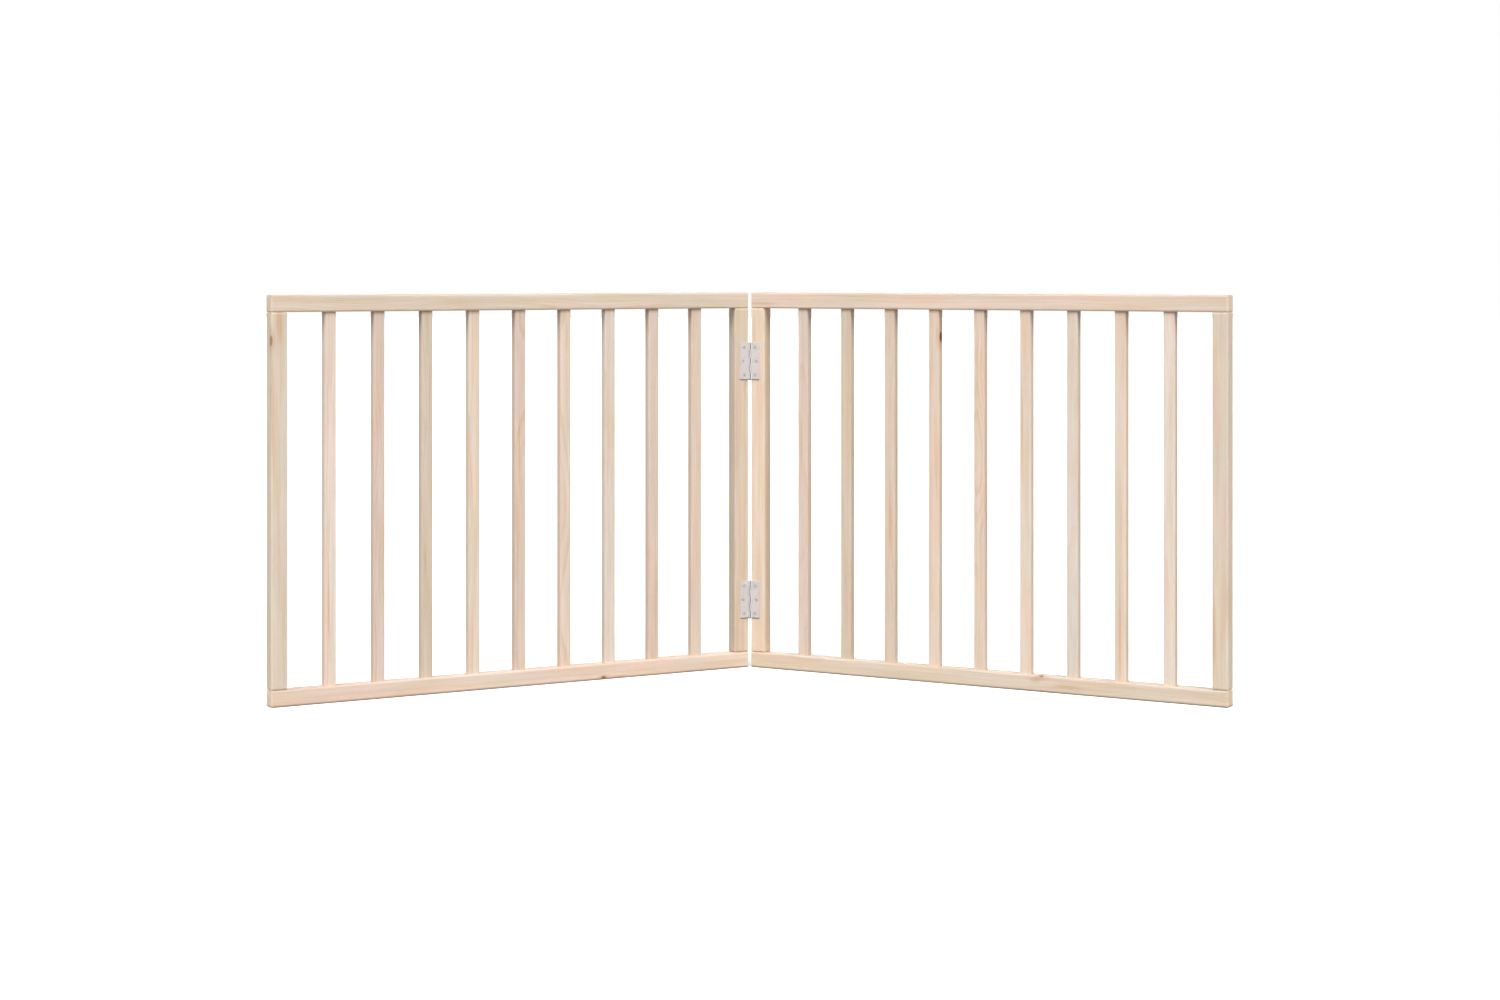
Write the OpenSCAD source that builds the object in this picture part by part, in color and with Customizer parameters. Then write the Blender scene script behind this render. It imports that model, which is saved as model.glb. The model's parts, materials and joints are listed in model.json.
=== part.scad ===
// Folding pet gate: two framed panels of nine slats, joined by two butt hinges on their front faces.
// Millimetres. +Z is up and the front, where the hinges are, faces -Y. The gate stands on z = 0 in a
// V that opens to the front, and the origin is the middle of its footprint.

/* [Panels] */
// Length of each panel along its rails
panel_length = 800; // [500:10:1000]
// Height of the gate
panel_height = 600; // [400:10:900]
// Thickness of the rails and stiles, front to back
frame_depth = 22; // [18:1:30]
// Height of each rail and width of each stile
frame_width = 25; // [24:0.5:40]
// Rounding on the edges of the rails and stiles
frame_edge_r = 3; // [1:0.5:4]
// Angle between the panels, measured on the front
opening_angle = 120; // [60:5:180]

/* [Slats] */
// Number of slats in each panel
slat_count = 9; // [5:1:12]
// Width of a slat, seen from the front
slat_width = 18; // [12:1:25]
// Thickness of a slat, front to back
slat_depth = 13; // [8:1:16]
// Rounding on the long edges of a slat
slat_edge_r = 2; // [0.5:0.5:3]
// Depth to which each end of a slat is housed in its rail
tenon_length = 10; // [6:1:15]

/* [Corner dowels] */
// Diameter of a dowel
dowel_d = 6; // [5:1:8]
// Length of a dowel, half of it in the rail and half in the stile
dowel_length = 40; // [30:1:44]
// Distance between the two dowels of a corner
dowel_spacing = 12; // [10:1:13]

/* [Hinges] */
// Height of a hinge
hinge_height = 60; // [50:5:80]
// Width of one leaf, from the pin's axis to its outer edge
leaf_width = 17; // [15:0.5:20]
// Thickness of the leaves
leaf_thickness = 0.9; // [0.8:0.1:1.2]
// Rounding on the outer corners of a leaf
leaf_corner_r = 2; // [1:0.5:3]
// Diameter of the hinge pin
pin_d = 2; // [1.8:0.1:2.5]
// Distance from the top of the gate to the middle of the upper hinge
upper_hinge_inset = 110; // [80:1:150]
// Distance from the floor to the middle of the lower hinge
lower_hinge_inset = 108.5; // [80:0.5:150]
// Gap between the ends of the panels when the gate is pulled straight
panel_gap = 1.6; // [0.4:0.1:2]

/* [Screws] */
// Length of a screw, with its head
screw_length = 16; // [12:1:18]
// Diameter of the screw's countersunk head
screw_head_d = 6.4; // [5:0.2:7]
// Diameter over the thread
screw_thread_d = 3.4; // [2.5:0.1:4]
// Distance from the pin's axis to the upper and lower screw of a leaf
outer_screw_x = 9.5; // [9:0.5:11]
// Distance from the pin's axis to the middle screw of a leaf
middle_screw_x = 11.5; // [10:0.5:13]
// Height of the upper and lower screw from the middle of the leaf
screw_rise = 22; // [18:1:24]

/* [Hidden] */
SIDES = ["left", "right"];
LEVELS = ["upper", "lower"];
$fn = 64;

pine = [0.88, 0.80, 0.72];
beech = [0.80, 0.66, 0.50];
zinc = [0.82, 0.80, 0.80];
screw_zinc = [0.86, 0.85, 0.84];

// Clearances: around glued wood, around screws, and around the pin in its knuckles
glue_gap = 0.05;
screw_gap = 0.05;
pin_gap = 0.05;
knuckle_gap = 0.2;

// A panel is drawn in its own frame: x runs along it from the pin's axis, y through it from the pin's
// axis toward the back, and z up. The barrel stands in front of the wood, so that the front faces
// can fold together.
pin_bore_r = pin_d / 2 + pin_gap;
barrel_r = pin_bore_r + leaf_thickness;
front_y = barrel_r;
middle_y = front_y + frame_depth / 2;
inner_x = panel_gap / 2;
outer_x = inner_x + panel_length;

slat_clear = (panel_length - 2 * frame_width - slat_count * slat_width) / (slat_count + 1);
slat_length = panel_height - 2 * frame_width + 2 * tenon_length;

dowel_tip = 0.8;
stile_centres = [inner_x + frame_width / 2, outer_x - frame_width / 2];
joint_heights = [frame_width, panel_height - frame_width];

knuckle_count = 5;
knuckle_pitch = hinge_height / knuckle_count;
notch_x = barrel_r + 0.35;
leaf_front_y = barrel_r - leaf_thickness;
pin_head_r = barrel_r - 0.25;
pin_head_h = 0.6;

screw_head_r = screw_head_d / 2;
screw_rim = 0.15;
screw_core_r = screw_thread_d / 2 - 0.5;
screw_shank = 3;
screw_pitch = 1.6;
screw_tip = 2.5;
recess_length = 3.6;
recess_width = 0.8;
recess_depth = 1.1;
screw_points = [[outer_screw_x, screw_rise], [middle_screw_x, 0], [outer_screw_x, -screw_rise]];

// The pin's axis, set back so that the footprint of the standing gate is centred on y = 0
fold = (180 - opening_angle) / 2;
foremost_y = -(outer_x - frame_edge_r) * sin(fold) + (front_y + frame_edge_r) * cos(fold) - frame_edge_r;
rearmost_y = -(inner_x + frame_edge_r) * sin(fold)
    + (front_y + frame_depth - frame_edge_r) * cos(fold) + frame_edge_r;
axis_y = -(min(foremost_y, -barrel_r) + rearmost_y) / 2;

// Distance of slat i's middle from the pin's axis, counted from the hinge
function slat_x(i) = inner_x + frame_width + i * slat_clear + (i - 0.5) * slat_width;

// The left leaf carries the first, third and fifth knuckles and the right leaf the two between them
function knuckles(side) = side == "left" ? [0, 2, 4] : [1, 3];
function other(side) = side == "left" ? "right" : "left";
function knuckle_z(k) = (k + 0.5) * knuckle_pitch - hinge_height / 2;

function hinge_z(level) = level == "upper" ? panel_height - upper_hinge_inset : lower_hinge_inset;

// Places children drawn in a panel's frame. The left panel mirrors the right one.
module in_panel(side) {
    translate([0, axis_y, 0])
        if (side == "left")
            mirror([1, 0, 0]) rotate([0, 0, -fold]) children();
        else
            rotate([0, 0, -fold]) children();
}

module at_hinge(side, level) {
    in_panel(side) translate([0, 0, hinge_z(level)]) children();
}

// Rectangle centred on the origin, with round corners
module rounded_rect(width, height, r) {
    square([width - 2 * r, height], center = true);
    square([width, height - 2 * r], center = true);
    for (x = [-1, 1], y = [-1, 1])
        translate([x * (width / 2 - r), y * (height / 2 - r)]) circle(r);
}

// Wooden bar, centred on the origin, with all its edges rounded
module eased_bar(length_x, depth_y, height_z, r) {
    intersection() {
        linear_extrude(height = height_z, center = true) rounded_rect(length_x, depth_y, r);
        rotate([90, 0, 0])
            linear_extrude(height = depth_y, center = true) rounded_rect(length_x, height_z, r);
        rotate([90, 0, 90])
            linear_extrude(height = length_x, center = true) rounded_rect(depth_y, height_z, r);
    }
}

// Slat i of a panel, or the mortises for it when grown
module slat_body(i, grow = 0) {
    translate([slat_x(i), middle_y, panel_height / 2])
        linear_extrude(height = slat_length + 2 * grow, center = true)
            rounded_rect(slat_width + 2 * grow, slat_depth + 2 * grow, slat_edge_r + grow);
}

// Dowels between one stile and both rails, or the holes for them when grown
module dowel_bodies(stile_x, grow = 0) {
    for (z = joint_heights, dx = [-0.5, 0.5])
        translate([stile_x + dx * dowel_spacing, middle_y, z]) {
            half = dowel_length / 2 + grow;
            cylinder(h = 2 * (half - dowel_tip), d = dowel_d + 2 * grow, center = true);
            for (flip = [0, 1])
                mirror([0, 0, flip])
                    translate([0, 0, half - dowel_tip])
                        cylinder(h = dowel_tip, d1 = dowel_d + 2 * grow, d2 = dowel_d - 2 * dowel_tip);
        }
}

// Rail along the top or the bottom of a panel, mortised for the slats
module rail(side, middle_z) {
    color(pine) in_panel(side) difference() {
        translate([(inner_x + outer_x) / 2, middle_y, middle_z])
            eased_bar(panel_length, frame_depth, frame_width, frame_edge_r);
        for (i = [1 : slat_count]) slat_body(i, glue_gap);
        for (x = stile_centres) dowel_bodies(x, glue_gap);
    }
}

module top_rail(side) rail(side, panel_height - frame_width / 2);

module bottom_rail(side) rail(side, frame_width / 2);

module stile_blank(x) {
    difference() {
        translate([x, middle_y, panel_height / 2])
            eased_bar(frame_width, frame_depth, panel_height - 2 * frame_width, frame_edge_r);
        dowel_bodies(x, glue_gap);
    }
}

module outer_stile(side) {
    color(pine) in_panel(side) stile_blank(stile_centres[1]);
}

// The stile that carries the hinges, drilled and countersunk for their screws
module hinge_stile(side) {
    color(pine) difference() {
        in_panel(side) stile_blank(stile_centres[0]);
        for (level = LEVELS) at_hinge(side, level) at_screws() screw_hole();
    }
}

module slat(side, i) {
    color(pine) in_panel(side) slat_body(i);
}

module corner_dowels(side) {
    color(beech) in_panel(side) for (x = stile_centres) dowel_bodies(x);
}

// Outline of a leaf's plate, seen from the front, notched for the other leaf's knuckles
module leaf_outline(side) {
    difference() {
        intersection() {
            rounded_rect(2 * leaf_width, hinge_height, leaf_corner_r);
            translate([0, -hinge_height / 2]) square([leaf_width, hinge_height]);
        }
        for (k = knuckles(other(side)))
            translate([0, knuckle_z(k)])
                square([2 * notch_x, knuckle_pitch + knuckle_gap], center = true);
    }
}

// One leaf: its plate lies on the wood and runs into its knuckles, which stand in front of it
module leaf(side, level) {
    color(zinc) at_hinge(side, level) difference() {
        union() {
            translate([0, barrel_r, 0])
                rotate([90, 0, 0]) linear_extrude(height = leaf_thickness) leaf_outline(side);
            for (k = knuckles(side))
                translate([0, 0, knuckle_z(k)])
                    cylinder(h = knuckle_pitch - knuckle_gap, r = barrel_r, center = true);
        }
        cylinder(h = hinge_height + 1, r = pin_bore_r, center = true);
        at_screws() screw_hole();
    }
}

// Pin with a riveted head at each end of the barrel
module pin(level) {
    color(zinc) at_hinge("left", level) {
        cylinder(h = hinge_height, d = pin_d, center = true);
        for (flip = [0, 1])
            mirror([0, 0, flip])
                translate([0, 0, hinge_height / 2])
                    cylinder(h = pin_head_h, r1 = pin_head_r, r2 = pin_head_r - 0.5);
    }
}

// Puts children, drawn along +Z from the face of the screw's head, at the three screws of a leaf
module at_screws() {
    for (p = screw_points)
        translate([p[0], leaf_front_y, p[1]]) rotate([-90, 0, 0]) children();
}

// Countersunk wood screw with ring-shaped threads, a point and a cross recess
module screw() {
    core_end = screw_length - screw_tip;
    thread_start = screw_head_r - screw_core_r + screw_rim + screw_shank;
    thread_count = floor((core_end - thread_start) / screw_pitch);
    difference() {
        rotate_extrude() polygon(concat(
            [[0, 0], [screw_head_r, 0], [screw_head_r, screw_rim]],
            [[screw_core_r, screw_rim + screw_head_r - screw_core_r]],
            [for (i = [0 : thread_count - 1], step = [0, 0.5])
                [screw_core_r + step, thread_start + (i + step) * screw_pitch]],
            [[screw_core_r, core_end], [0, screw_length]]
        ));
        for (turn = [0, 90])
            rotate([0, 0, turn])
                cube([recess_length, recess_width, 2 * recess_depth], center = true);
    }
}

// Hole that clears a screw: a countersink for its head and a bore for its thread
module screw_hole() {
    head_r = screw_head_r + screw_gap;
    bore_r = screw_thread_d / 2 + screw_gap;
    rotate_extrude() polygon([
        [0, -1], [head_r, -1], [head_r, screw_rim], [bore_r, screw_rim + head_r - bore_r],
        [bore_r, screw_length - screw_tip], [0, screw_length + screw_gap]
    ]);
}

module hinge_screws(side, level) {
    color(screw_zinc) at_hinge(side, level) at_screws() screw();
}

for (side = SIDES) {
    top_rail(side);
    bottom_rail(side);
    outer_stile(side);
    hinge_stile(side);
    corner_dowels(side);
    for (i = [1 : slat_count])
        slat(side, i);
}
for (level = LEVELS) {
    pin(level);
    for (side = SIDES) {
        leaf(side, level);
        hinge_screws(side, level);
    }
}
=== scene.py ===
"""Studio scene of the folding pet gate: pale pine panels, zinc-plated hinges and a white studio.

Lengths in the shaders are millimetres and everything else is in metres, in the frame of the CAD model.
"""

import json
import math
import random

import bpy
from mathutils import Matrix, Vector


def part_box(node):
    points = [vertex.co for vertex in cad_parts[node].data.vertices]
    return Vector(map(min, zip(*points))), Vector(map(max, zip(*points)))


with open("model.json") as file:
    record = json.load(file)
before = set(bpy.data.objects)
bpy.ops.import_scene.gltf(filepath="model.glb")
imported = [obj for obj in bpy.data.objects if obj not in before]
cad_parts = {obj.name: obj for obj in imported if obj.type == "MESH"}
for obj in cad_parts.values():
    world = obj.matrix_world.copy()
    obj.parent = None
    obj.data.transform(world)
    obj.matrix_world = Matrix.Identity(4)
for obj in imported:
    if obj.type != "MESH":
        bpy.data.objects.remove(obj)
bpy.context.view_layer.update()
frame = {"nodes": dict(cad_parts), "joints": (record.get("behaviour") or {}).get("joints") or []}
nodes = frame["nodes"]
fold_joint = frame["joints"][0]

MM = 1000.0
SIDES = ("left", "right")
LEVELS = ("upper", "lower")
SLATS = range(1, 10)

# Camera, level and straight in front of the hinge pins, a little above the top of the gate
CAMERA_DISTANCE = 4.269
CAMERA_HEIGHT = 0.640
LENS_MM = 64.0
SENSOR_MM = 36.0
VIEW_SHIFT = (0.0002, -0.155)

# Light that falls on a card facing each source, where a white card lit with 1 renders as white.
# The fill comes from the walls and fades to nothing straight above. Each sun is (name, light, side
# angle, elevation, softness), with its angles in degrees and the side angle counted from the camera.
FILL_LIGHT = 0.46
SUNS = (
    ("key_left", 0.62, -44, 38.5, 22),
    ("key_right", 0.62, 44, 38.5, 22),
    ("back_wall", 0.42, 180, 8, 30),
)

# The floor as the camera sees it and as the gate does, and the glow that makes it a light table
FLOOR_SEEN = 0.95
FLOOR_BOUNCE = 0.42
FLOOR_GLOW = 0.55
FLOOR_SIZE = 60

# Boards of one batch still differ. Each tone is the linear colour of the wood between the rings.
TONES = {
    "ivory": (0.93, 0.81, 0.73),
    "cream": (0.90, 0.77, 0.66),
    "blush": (0.89, 0.74, 0.64),
    "silver": (0.85, 0.76, 0.68),
    "oat": (0.84, 0.73, 0.62),
    "honey": (0.83, 0.69, 0.59),
    "rose": (0.82, 0.68, 0.60),
    "tan": (0.77, 0.66, 0.55),
}

# Tone of each slat, counted from the hinge, and of the four frame pieces of each panel
SLAT_TONES = {
    "left": ("honey", "rose", "silver", "blush", "rose", "cream", "tan", "rose", "ivory"),
    "right": ("rose", "tan", "honey", "blush", "blush", "cream", "silver", "cream", "ivory"),
}
FRAME_TONES = {
    "left_top_rail": "oat",
    "left_bottom_rail": "blush",
    "left_outer_stile": "oat",
    "left_hinge_stile": "tan",
    "right_top_rail": "blush",
    "right_bottom_rail": "oat",
    "right_outer_stile": "oat",
    "right_hinge_stile": "cream",
}

# Knots, as (place, half size, darkness), with place and size in a piece's own frame in millimetres:
# along, across and out of its front
KNOTS = {
    "left_outer_stile": ((233.5, 12.2, 9.0), (8.0, 2.6, 2.8), 0.6),
    "right_slat_4": ((233, -9, 0.5), (9.0, 3.0, 4.2), 1.0),
    "left_bottom_rail": ((140, -8.8, 10), (4.6, 2.0, 3.0), 0.8),
    "right_bottom_rail": ((105, 11, 8.5), (5.0, 2.2, 3.0), 0.7),
}

# Reddish streaks, up to two on a piece, each as (place, half size) in the same frame
STREAKS = {
    "left_outer_stile": [((150, 11, 9), (110, 2.6, 6)), ((262, -1, 11), (42, 7.0, 6))],
    "left_hinge_stile": [((-120, 4, 11), (150, 1.4, 6)), ((180, -6, 11), (90, 1.4, 6))],
    "left_slat_2": [((-190, -4, 6), (110, 3.0, 6))],
    "left_slat_5": [((60, 2, 6), (120, 2.0, 6))],
    "left_slat_7": [((-98, 3, 6), (34, 1.6, 6)), ((150, -4, 6), (80, 2.0, 6))],
    "left_slat_9": [((-160, 3, 6), (60, 2.0, 6))],
    "left_bottom_rail": [((165, -9, 9), (22, 2.5, 6))],
    "right_top_rail": [((-380, -5, 11), (32, 3.6, 6))],
    "right_bottom_rail": [((95, 5, 11), (13, 5.0, 6)), ((148, -1, 11), (32, 3.5, 6))],
    "right_hinge_stile": [((240, 6, 11), (60, 4.0, 6)), ((0, -12.5, 0), (420, 3.0, 12))],
    "right_slat_3": [((-45, -1, 6), (85, 2.0, 6))],
    "right_slat_6": [((90, 5, 6), (110, 2.5, 6))],
    "right_slat_8": [((-200, 0, 6), (85, 2.6, 6))],
    "right_outer_stile": [((-190, 9, 11), (70, 3.0, 6))],
}
STREAKS_EACH = 2

# Stand-ins, out of reach of the wood, for a mark or a joint that a piece doesn't have
NO_MARK = ((0, 0, 900), (1, 1, 1))
NO_KNOT = (*NO_MARK, 0.0)
NO_JOINT = 2 * MM

# What each feature of the pine multiplies its colour by
RING_TINT = (0.90, 0.82, 0.73)
FIBRE_TINT = (0.94, 0.92, 0.89)
BROAD_TINT = (0.94, 0.91, 0.87)
CANAL_TINT = (0.76, 0.60, 0.45)
STREAK_TINT = (0.90, 0.75, 0.62)
KNOT_HALO_TINT = (0.90, 0.70, 0.56)
# painted shade: the rounded edges a little darker and greyer
EDGE_SHADE_TINT = (0.96, 0.975, 0.99)
END_TINT = (1.08, 1.05, 1.0)
# painted shade: the foot of the bottom rails darker where they meet the floor
FOOT_SHADE_TINT = (0.68, 0.66, 0.64)
# painted shade: the slats darker just below the top rail, where its shadow falls
RAIL_SHADE_TINT = (0.76, 0.71, 0.67)

# Pink, grey and straw patches, as (channel of the noise, where the patch starts, tint)
PATCHES = (
    ("X", 0.44, (1.01, 0.945, 0.93)),
    ("Y", 0.44, (0.94, 0.965, 0.945)),
    ("Z", 0.46, (1.01, 0.985, 0.92)),
)
PATCH_FULL = 0.66

KNOT_WOOD = (0.25, 0.115, 0.06)
KNOT_RINGS = (0.10, 0.048, 0.03)

# Where painted shade fades, in millimetres: inside a rounded edge, above the floor, below a joint
EDGE_SHADE_REACH = (-3.2, -0.4)
FOOT_SHADE_REACH = (2.2, 5.4)
RAIL_SHADE_REACH = (2.0, 7.0)

GRAIN_SEED = 7
GRAIN_RELIEF_MM = 0.12

# Zinc plate of the leaves and pins, the slightly darker plate of the screws, and the painted shade on
# the leaves: in the knuckle seams and along the low edges
PLATE = (0.88, 0.865, 0.84)
SCREW_PLATE = (0.85, 0.83, 0.81)
SPANGLE_TINT = (0.88, 0.88, 0.87)
LILAC_TINT = (0.97, 0.92, 0.97)
CLOUD_TINT = (0.95, 0.93, 0.96)
ROLLING_TINT = (0.86, 0.86, 0.88)
# painted shade in the seam where a knuckle meets the other leaf
SEAM_SHADE = (0.07, 0.065, 0.06)
SEAM_SHADE_REACH = (0.25, 0.75)
# painted shadow along the low edge of each leaf
LOW_EDGE_SHADE = (0.24, 0.22, 0.19)
LOW_EDGE_SHADE_REACH = (0.9, 2.4)


class Graph:
    """Adds shader nodes to a tree and links them, so that a material reads as a list of steps."""

    def __init__(self, tree):
        self.tree = tree

    def add(self, kind, settings=None, **inputs):
        node = self.tree.nodes.new(kind)
        for name, value in (settings or {}).items():
            setattr(node, name, value)
        for name, value in inputs.items():
            self.feed(node.inputs[name.replace("_", " ")], value)
        return node

    def feed(self, socket, value):
        if isinstance(value, bpy.types.NodeSocket):
            self.tree.links.new(value, socket)
        else:
            socket.default_value = value

    def math(self, operation, *values, clamp=False):
        node = self.add("ShaderNodeMath", {"operation": operation, "use_clamp": clamp})
        for socket, value in zip(node.inputs, values):
            self.feed(socket, value)
        return node.outputs[0]

    def vector(self, operation, *values):
        node = self.add("ShaderNodeVectorMath", {"operation": operation})
        for socket, value in zip(node.inputs, values):
            self.feed(socket, value)
        return node.outputs["Value" if operation in ("LENGTH", "DOT_PRODUCT") else "Vector"]

    def noise(self, vector, scale, detail=2.0, roughness=0.5, output="Fac"):
        node = self.add("ShaderNodeTexNoise", Vector=vector, Scale=scale, Detail=detail,
                        Roughness=roughness)
        return node.outputs[output]

    def ramp(self, value, low, high, to_low=0.0, to_high=1.0, smooth=True):
        node = self.add("ShaderNodeMapRange",
                        {"interpolation_type": "SMOOTHSTEP" if smooth else "LINEAR"})
        for name, amount in (("Value", value), ("From Min", low), ("From Max", high),
                             ("To Min", to_low), ("To Max", to_high)):
            self.feed(node.inputs[name], amount)
        return node.outputs["Result"]

    def mix(self, factor, a, b, blend="MIX"):
        node = self.add("ShaderNodeMix", {"data_type": "RGBA", "blend_type": blend})
        self.feed(node.inputs["Factor"], factor)
        self.feed(node.inputs[6], rgba(a))
        self.feed(node.inputs[7], rgba(b))
        return node.outputs[2]

    def tint(self, colour, amount, multiplier):
        """Moves a colour by an amount toward itself times a multiplier."""
        return self.mix(amount, colour, self.mix(1.0, colour, multiplier, "MULTIPLY"))

    def split(self, vector):
        """The outputs X, Y and Z of a vector."""
        return self.add("ShaderNodeSeparateXYZ", Vector=vector).outputs


def rgba(value):
    """A colour socket needs four numbers; a link passes through."""
    if isinstance(value, bpy.types.NodeSocket) or len(value) == 4:
        return value
    return (*value, 1.0)


class Board:
    """A wooden piece's own frame: x along the grain, y across its face, and z out of its front."""

    def __init__(self, node, along, across):
        low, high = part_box(node)
        self.middle = (low + high) / 2
        self.basis = Matrix((along, across, along.cross(across))).transposed()
        points = [self.basis.transposed() @ (v.co - self.middle) for v in nodes[node].data.vertices]
        self.half = Vector([max(abs(p[i]) for p in points) for i in range(3)]) * MM


def boards():
    """Every pine piece with its frame: the grain runs along the rails and up the uprights."""
    up = Vector((0, 0, 1))
    for side in SIDES:
        ends = [sum(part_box(f"{side}_{name}_stile"), Vector()) for name in ("hinge", "outer")]
        rightward = (ends[1] - ends[0]).normalized() * (1 if side == "right" else -1)
        for name in ("top_rail", "bottom_rail"):
            yield f"{side}_{name}", Board(f"{side}_{name}", rightward, up)
        for name in ["outer_stile", "hinge_stile"] + [f"slat_{i}" for i in SLATS]:
            yield f"{side}_{name}", Board(f"{side}_{name}", up, -rightward)


def new_group(name, inputs, outputs):
    """A node group with the sockets given as (label, kind), and a Graph to build it."""
    tree = bpy.data.node_groups.new(name, "ShaderNodeTree")
    for label, kind in inputs:
        tree.interface.new_socket(label, in_out="INPUT", socket_type=kind)
    for label, kind in outputs:
        tree.interface.new_socket(label, in_out="OUTPUT", socket_type=kind)
    graph = Graph(tree)
    source = graph.add("NodeGroupInput")
    sink = graph.add("NodeGroupOutput")
    return tree, graph, source.outputs, sink.inputs


def grain_noise(g, seeded, along, across, detail=2.0, roughness=0.5, output="Fac"):
    """Noise drawn out along the grain, with its features per millimetre each way."""
    stretched = g.vector("MULTIPLY", seeded, (along, across, across))
    return g.noise(stretched, 1.0, detail, roughness, output)


def late_wood(g, given, seeded, knot_gap):
    """How much late wood is here, the dark part of a growth ring.

    The rings go round a pith that wanders along the board, each ring has its own strength, and a
    knot pushes the rings around itself aside.
    """
    push = g.math("MULTIPLY", g.math("EXPONENT", g.math("MULTIPLY", knot_gap, -0.45)), 5.0)
    wander = grain_noise(g, seeded, 0.0035, 0.0, 1.0, output="Color")
    drift = g.vector("MULTIPLY", g.vector("SUBTRACT", wander, (0.5, 0.5, 0.5)), (0.0, 24.0, 24.0))
    from_pith = g.vector("ADD", g.vector("SUBTRACT", given["Point"], given["Pith"]), drift)
    radius = g.vector("LENGTH", g.vector("MULTIPLY", from_pith, (0.0, 1.0, 1.0)))
    waviness = g.math("MULTIPLY", grain_noise(g, seeded, 0.012, 0.16), 2.0)
    radius = g.math("ADD", radius, waviness)
    years = g.math("DIVIDE", g.math("ADD", radius, push), given["Ring Width"])
    season = g.math("FRACT", years)
    late = g.math("MULTIPLY", g.ramp(season, 0.3, 0.9), g.ramp(season, 0.9, 1.0, 1.0, 0.0))
    vigour = g.add("ShaderNodeTexWhiteNoise", {"noise_dimensions": "1D"},
                   W=g.math("FLOOR", years)).outputs["Value"]
    return g.math("MULTIPLY", late, g.ramp(vigour, 0.0, 1.0, 0.2, 1.0, smooth=False))


def grained(g, wood, seeded, late, fibre, broad, canal):
    """The wood with its rings, fibres, broad patches of colour and resin canals."""
    patches = g.split(grain_noise(g, seeded, 0.008, 0.08, 1.5, 0.5, output="Color"))
    wood = g.tint(wood, g.math("MULTIPLY", late, 0.8), RING_TINT)
    wood = g.tint(wood, g.ramp(fibre, 0.3, 0.7, 0.0, 0.6), FIBRE_TINT)
    wood = g.tint(wood, g.ramp(broad, 0.35, 0.68), BROAD_TINT)
    for channel, start, multiplier in PATCHES:
        wood = g.tint(wood, g.ramp(patches[channel], start, PATCH_FULL), multiplier)
    return g.tint(wood, g.math("MULTIPLY", canal, 0.4), CANAL_TINT)


def streaked(g, wood, given, fibre):
    """The wood with its reddish streaks, whose sides are soft and uneven."""
    wander = g.math("MULTIPLY", g.math("SUBTRACT", fibre, 0.5), 1.2)
    for i in range(STREAKS_EACH):
        offset = g.vector("SUBTRACT", given["Point"], given[f"Streak {i} Place"])
        gap = g.vector("LENGTH", g.vector("DIVIDE", offset, given[f"Streak {i} Size"]))
        streak = g.ramp(g.math("ADD", gap, wander), 0.2, 1.1, 1.0, 0.0)
        wood = g.tint(wood, g.math("MULTIPLY", streak, 0.8), STREAK_TINT)
    return wood


def knotted(g, wood, given, knot_gap, fibre):
    """The wood with its knot, a dark heart with rings of its own and a warm halo, and the heart."""
    uneven = g.math("ADD", knot_gap, g.math("MULTIPLY", g.math("SUBTRACT", fibre, 0.5), 0.5))
    halo = g.ramp(uneven, 0.9, 3.4, 1.0, 0.0)
    heart = g.ramp(uneven, 0.7, 1.15, 1.0, 0.0)
    ring = g.ramp(g.math("FRACT", g.math("MULTIPLY", knot_gap, 3.0)), 0.2, 0.9)
    wood = g.tint(wood, g.math("MULTIPLY", halo, 0.7), KNOT_HALO_TINT)
    wood = g.mix(g.math("MULTIPLY", heart, given["Knot Darkness"]), wood,
                 g.mix(ring, KNOT_WOOD, KNOT_RINGS))
    return wood, heart


def ends_and_painted_shade(g, wood, given, broad):
    """The wood with paler sawn ends, and painted shade: darker rounded edges, a darker foot and a darker
    band below a joint.
    """
    point = given["Point"]
    inset = g.split(g.vector("SUBTRACT", g.vector("ABSOLUTE", point), given["Half Size"]))
    # painted shade: the rounded edges darkened and greyed, so that lit edges read less bright
    at_edge = g.math("MULTIPLY", g.ramp(inset["Y"], *EDGE_SHADE_REACH), g.ramp(inset["Z"], *EDGE_SHADE_REACH))
    wood = g.tint(wood, g.math("MULTIPLY", at_edge, 0.7), EDGE_SHADE_TINT)
    wood = g.tint(wood, given["Endness"], END_TINT)

    # painted shade: the bottom rails darkened along their foot, where they meet the floor
    above_foot = g.split(g.vector("ADD", point, given["Half Size"]))["Y"]
    uneven_foot = g.math("ADD", above_foot, g.math("MULTIPLY", broad, 1.5))
    foot_shade = g.math("MULTIPLY", g.ramp(uneven_foot, *FOOT_SHADE_REACH, 1.0, 0.0), given["Grime"])
    wood = g.tint(wood, foot_shade, FOOT_SHADE_TINT)

    # painted shade: the top of each slat darkened just below the top rail's underside, where the rail's
    # shadow falls
    below_joint = g.math("SUBTRACT", given["Joint"], g.split(point)["X"])
    return g.tint(wood, g.ramp(below_joint, *RAIL_SHADE_REACH, 1.0, 0.0), RAIL_SHADE_TINT)


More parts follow.
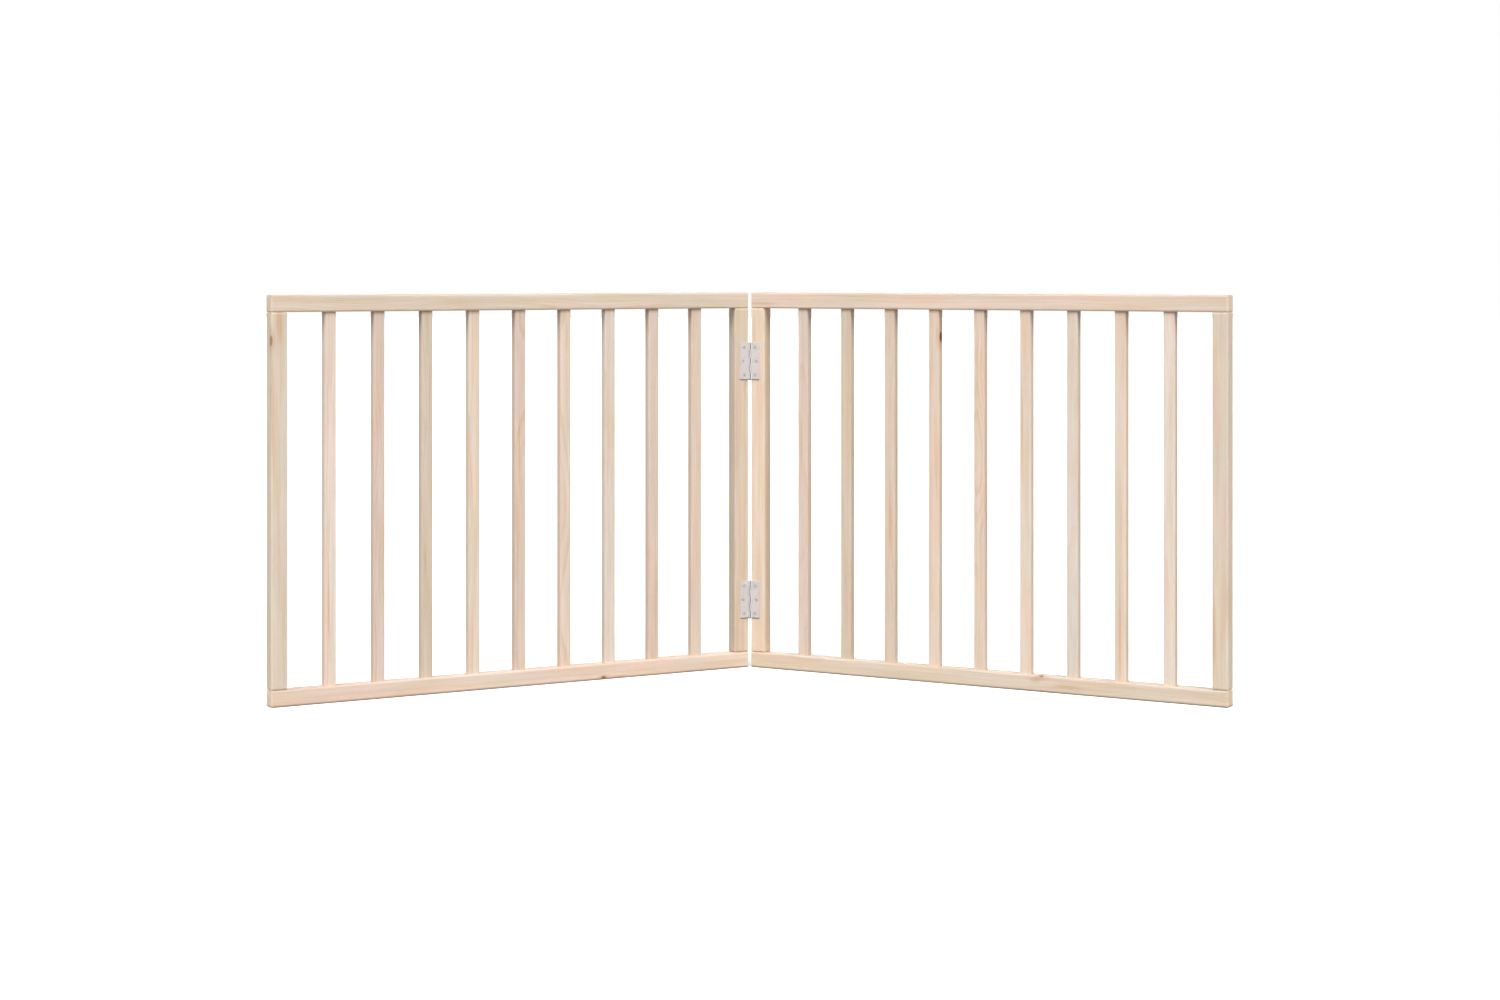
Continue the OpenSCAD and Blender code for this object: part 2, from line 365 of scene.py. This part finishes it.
def pine_group():
    """Pine as a solid, cut by the surface of each piece, which gives its place, tone and marks."""
    tree, g, given, made = new_group(
        "pine",
        [("Point", "NodeSocketVector"), ("Endness", "NodeSocketFloat"),
         ("Half Size", "NodeSocketVector"), ("Seed", "NodeSocketVector"),
         ("Pith", "NodeSocketVector"), ("Ring Width", "NodeSocketFloat"),
         ("Tone", "NodeSocketColor"), ("Knot", "NodeSocketVector"),
         ("Knot Size", "NodeSocketVector"), ("Knot Darkness", "NodeSocketFloat"),
         ("Grime", "NodeSocketFloat"), ("Joint", "NodeSocketFloat")]
        + [(f"Streak {i} {part}", "NodeSocketVector")
           for i in range(STREAKS_EACH) for part in ("Place", "Size")],
        [("Color", "NodeSocketColor"), ("Height", "NodeSocketFloat"),
         ("Roughness", "NodeSocketFloat")])
    seeded = g.vector("ADD", given["Point"], given["Seed"])
    knot_offset = g.vector("SUBTRACT", given["Point"], given["Knot"])
    knot_gap = g.vector("LENGTH", g.vector("DIVIDE", knot_offset, given["Knot Size"]))
    late = late_wood(g, given, seeded, knot_gap)
    fibre = grain_noise(g, seeded, 0.03, 1.5, 4.0, 0.6)
    canal = g.ramp(grain_noise(g, seeded, 0.09, 2.6, 1.0), 0.66, 0.74)
    broad = grain_noise(g, seeded, 0.004, 0.13, 2.0, 0.55)

    wood = grained(g, given["Tone"], seeded, late, fibre, broad, canal)
    wood = streaked(g, wood, given, fibre)
    wood, heart = knotted(g, wood, given, knot_gap, fibre)
    g.feed(made["Color"], ends_and_painted_shade(g, wood, given, broad))

    grain = g.math("ADD", g.math("MULTIPLY", fibre, 0.55), g.math("MULTIPLY", late, 0.35))
    grain = g.math("SUBTRACT", grain, g.math("MULTIPLY", canal, 0.4))
    g.feed(made["Height"], g.math("SUBTRACT", grain, g.math("MULTIPLY", heart, 0.5)))

    dry = g.ramp(fibre, 0.2, 0.8, 0.56, 0.72)
    dry = g.math("SUBTRACT", dry, g.math("MULTIPLY", late, 0.07))
    dry = g.math("SUBTRACT", dry, g.math("MULTIPLY", heart, 0.15))
    g.feed(made["Roughness"], g.math("ADD", dry, g.math("MULTIPLY", given["Endness"], 0.12)))
    return tree


def surface_material(name, specular=0.5, metallic=0.0):
    """A new material with its Principled shader, and a Graph to build the rest of it."""
    material = bpy.data.materials.new(name)
    material.use_nodes = True
    shader = material.node_tree.nodes["Principled BSDF"]
    shader.inputs["Specular IOR Level"].default_value = specular
    shader.inputs["Metallic"].default_value = metallic
    return material, Graph(material.node_tree), shader


def bump(g, shader, height, depth_mm):
    """Relief of the surface, up to a depth in millimetres."""
    node = g.add("ShaderNodeBump", Height=height, Strength=1.0, Distance=depth_mm / MM)
    g.feed(shader.inputs["Normal"], node.outputs["Normal"])


def millimetres(g, vector):
    """The object's own coordinates, or others in metres, as millimetres."""
    scaled = g.add("ShaderNodeVectorMath", {"operation": "SCALE"}, Vector=vector, Scale=MM)
    return scaled.outputs["Vector"]


def joint_height(name, board):
    """Height of the top rail's underside in a slat's own frame, in millimetres."""
    if "_slat_" not in name:
        return NO_JOINT
    side = name.partition("_")[0]
    return (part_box(f"{side}_top_rail")[0].z - board.middle.z) * MM


def streak_inputs(name):
    """The streaks of a piece as inputs of the pine group, with none left unset."""
    streaks = (STREAKS.get(name, []) + [NO_MARK] * STREAKS_EACH)[:STREAKS_EACH]
    inputs = {}
    for i, (middle, size) in enumerate(streaks):
        inputs[f"Streak_{i}_Place"] = middle
        inputs[f"Streak_{i}_Size"] = size
    return inputs


def pine(name, board, tone, group, rng):
    """Material of one pine piece, cut from its own place in a tree."""
    material, g, shader = surface_material("pine_" + name, specular=0.35)
    where = g.add("ShaderNodeTexCoord").outputs
    place = g.add("ShaderNodeMapping", {"vector_type": "TEXTURE"}, Vector=where["Object"],
                  Location=board.middle, Rotation=board.basis.to_euler())
    facing = g.vector("DOT_PRODUCT", where["Normal"], tuple(board.basis.col[0]))
    turn = rng.uniform(0, math.tau)
    reach = rng.uniform(25, 90)
    knot, knot_size, darkness = KNOTS.get(name, NO_KNOT)
    wood = g.add(
        "ShaderNodeGroup", {"node_tree": group}, Point=millimetres(g, place.outputs["Vector"]),
        Endness=g.ramp(g.math("ABSOLUTE", facing), 0.6, 0.95), Half_Size=board.half,
        Seed=[rng.uniform(-4000, 4000) for _ in range(3)],
        Pith=(0, reach * math.cos(turn), reach * math.sin(turn)),
        Ring_Width=rng.uniform(1.7, 3.2), Tone=rgba(TONES[tone]),
        Knot=knot, Knot_Size=knot_size, Knot_Darkness=darkness,
        # painted shade along the foot, on the bottom rails only
        Grime=float(name.endswith("bottom_rail")), Joint=joint_height(name, board),
        **streak_inputs(name))
    g.feed(shader.inputs["Base Color"], wood.outputs["Color"])
    g.feed(shader.inputs["Roughness"], wood.outputs["Roughness"])
    bump(g, shader, wood.outputs["Height"], GRAIN_RELIEF_MM)
    return material


def beech():
    """Dowels: brown-pink wood with the short dark flecks of beech, along Z."""
    material, g, shader = surface_material("beech", specular=0.35)
    point = millimetres(g, g.add("ShaderNodeTexCoord").outputs["Object"])
    fleck = g.noise(g.vector("MULTIPLY", point, (2.2, 2.2, 0.35)), 1.0, 1.0)
    band = g.noise(g.vector("MULTIPLY", point, (0.5, 0.5, 0.03)), 1.0, 2.0)
    wood = g.mix(band, (0.62, 0.43, 0.28), (0.50, 0.32, 0.19))
    wood = g.mix(g.ramp(fleck, 0.62, 0.72), wood, (0.32, 0.18, 0.10))
    g.feed(shader.inputs["Base Color"], wood)
    g.feed(shader.inputs["Roughness"], g.ramp(band, 0.2, 0.8, 0.5, 0.65))
    bump(g, shader, fleck, 0.05)
    return material


def zinc(name, base, roughness, seam_side=0, low_edges=()):
    """Matt zinc plate: spangled pale grey with a lilac cast, and rolling marks along Z.

    Painted shade darkens one side of a leaf's knuckles, where they meet the other leaf, and a painted
    shadow darkens its low edges.
    seam_side is that side in X, and low_edges are the heights of the edges in millimetres.
    """
    material, g, shader = surface_material(name, metallic=0.6)
    point = millimetres(g, g.add("ShaderNodeTexCoord").outputs["Object"])
    spangle = g.split(g.add("ShaderNodeTexVoronoi", Vector=point, Scale=0.55).outputs["Color"])
    cloud = g.noise(point, 0.35, 3.0, 0.6)
    marks = g.noise(g.vector("MULTIPLY", point, (3.5, 3.5, 0.12)), 1.0, 3.0, 0.65)
    metal = g.tint(base, cloud, CLOUD_TINT)
    metal = g.tint(metal, g.math("MULTIPLY", spangle["X"], 0.8), SPANGLE_TINT)
    metal = g.tint(metal, g.math("MULTIPLY", spangle["Y"], 0.6), LILAC_TINT)
    metal = g.tint(metal, g.ramp(marks, 0.55, 0.75, 0.0, 0.4), ROLLING_TINT)
    place = g.split(point)
    # painted shadow: each leaf darkened along its low edge, where its shadow falls
    for height in low_edges:
        above = g.math("SUBTRACT", place["Z"], height)
        edge = g.ramp(g.math("ABSOLUTE", above), *LOW_EDGE_SHADE_REACH, 0.85, 0.0)
        metal = g.mix(edge, metal, LOW_EDGE_SHADE)
    if seam_side:
        # painted shade: one side of each knuckle darkened, where it meets the other leaf
        seam_shade = g.ramp(g.math("MULTIPLY", place["X"], seam_side), *SEAM_SHADE_REACH)
        metal = g.mix(g.math("MULTIPLY", seam_shade, 0.92), metal, SEAM_SHADE)
    g.feed(shader.inputs["Base Color"], metal)
    rough = g.math("ADD", g.math("MULTIPLY", spangle["X"], 0.10), g.math("MULTIPLY", cloud, 0.12))
    g.feed(shader.inputs["Roughness"], g.math("ADD", rough, roughness - 0.11))
    bump(g, shader, g.math("ADD", marks, g.math("MULTIPLY", spangle["X"], 0.4)), 0.02)
    return material


def dress(node, material):
    """Gives a piece its material through the object's slots, so that its mesh stays as it is."""
    for slot in nodes[node].material_slots:
        slot.link = "OBJECT"
        slot.material = material


def dress_wood():
    """A pine material of its own for each piece of the panels, and beech for the dowels."""
    rng = random.Random(GRAIN_SEED)
    group = pine_group()
    for name, board in boards():
        side, _, rest = name.partition("_")
        if rest.startswith("slat_"):
            tone = SLAT_TONES[side][int(rest.removeprefix("slat_")) - 1]
        else:
            tone = FRAME_TONES[name]
        dress(name, pine(name, board, tone, group, rng))
    dowel_wood = beech()
    for side in SIDES:
        dress(f"{side}_corner_dowels", dowel_wood)


def dress_hinges():
    """Zinc plate for the leaves, pins and screws, with the painted shade of each side's leaves."""
    pin_zinc = zinc("zinc_pin", PLATE, 0.5)
    screw_zinc = zinc("zinc_screws", SCREW_PLATE, 0.42)
    for side, seam_side in zip(SIDES, (1, -1)):
        low_edges = [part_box(f"{level}_hinge_{side}_leaf")[0].z * MM for level in LEVELS]
        leaf_zinc = zinc(f"zinc_{side}_leaf", PLATE, 0.55, seam_side, low_edges)
        for level in LEVELS:
            dress(f"{level}_hinge_{side}_leaf", leaf_zinc)
            dress(f"{level}_hinge_{side}_screws", screw_zinc)
    for level in LEVELS:
        dress(f"{level}_hinge_pin", pin_zinc)


def floor():
    """Plain white floor. The camera sees it well lit, but it throws less light back than that."""
    bpy.ops.mesh.primitive_plane_add(size=FLOOR_SIZE)
    plane = bpy.context.object
    plane.name = "studio_floor"
    material, g, shader = surface_material("studio_white", specular=0.0)
    seen = g.add("ShaderNodeLightPath").outputs["Is Camera Ray"]
    g.feed(shader.inputs["Base Color"], g.mix(seen, (FLOOR_BOUNCE,) * 3, (FLOOR_SEEN,) * 3))
    g.feed(shader.inputs["Emission Strength"], g.math("MULTIPLY", seen, FLOOR_GLOW))
    shader.inputs["Emission Color"].default_value = (1, 1, 1, 1)
    shader.inputs["Roughness"].default_value = 1.0
    plane.data.materials.append(material)


def studio():
    """White walls that fill the shadows, a soft key light on each side of the camera, and the light
    that a bright back wall throws on the rear of the gate."""
    world = bpy.data.worlds.new("studio")
    bpy.context.scene.world = world
    world.use_nodes = True
    g = Graph(world.node_tree)
    fill = world.node_tree.nodes["Background"]
    direction = g.add("ShaderNodeTexCoord").outputs["Generated"]
    walls = g.ramp(g.split(direction)["Z"], 0.0, 1.0, FILL_LIGHT, 0.0, smooth=False)
    seen = g.add("ShaderNodeLightPath").outputs["Is Camera Ray"]
    fill.inputs["Color"].default_value = (1, 1, 1, 1)
    g.feed(fill.inputs["Strength"], g.ramp(seen, 0.0, 1.0, walls, 1.0, smooth=False))

    for name, light, side_angle, elevation, softness in SUNS:
        sun = bpy.data.lights.new(name, "SUN")
        sun.energy = light * math.pi
        sun.angle = math.radians(softness)
        sun_object = bpy.data.objects.new(name, sun)
        sun_object.rotation_euler = (math.radians(90 - elevation), 0, math.radians(side_angle))
        bpy.context.scene.collection.objects.link(sun_object)


def camera():
    """A level camera in front of the hinge, shifted rather than tilted so that uprights stay upright."""
    lens = bpy.data.cameras.new("camera")
    lens.lens = LENS_MM
    lens.sensor_width = SENSOR_MM
    lens.shift_x, lens.shift_y = VIEW_SHIFT
    camera_object = bpy.data.objects.new("camera", lens)
    camera_object.location = (0, fold_joint["pos_m"][1] - CAMERA_DISTANCE, CAMERA_HEIGHT)
    camera_object.rotation_euler = (math.pi / 2, 0, 0)
    bpy.context.scene.collection.objects.link(camera_object)
    bpy.context.scene.camera = camera_object


camera()
dress_wood()
dress_hinges()
floor()
studio()
bpy.context.scene.view_settings.view_transform = "Standard"
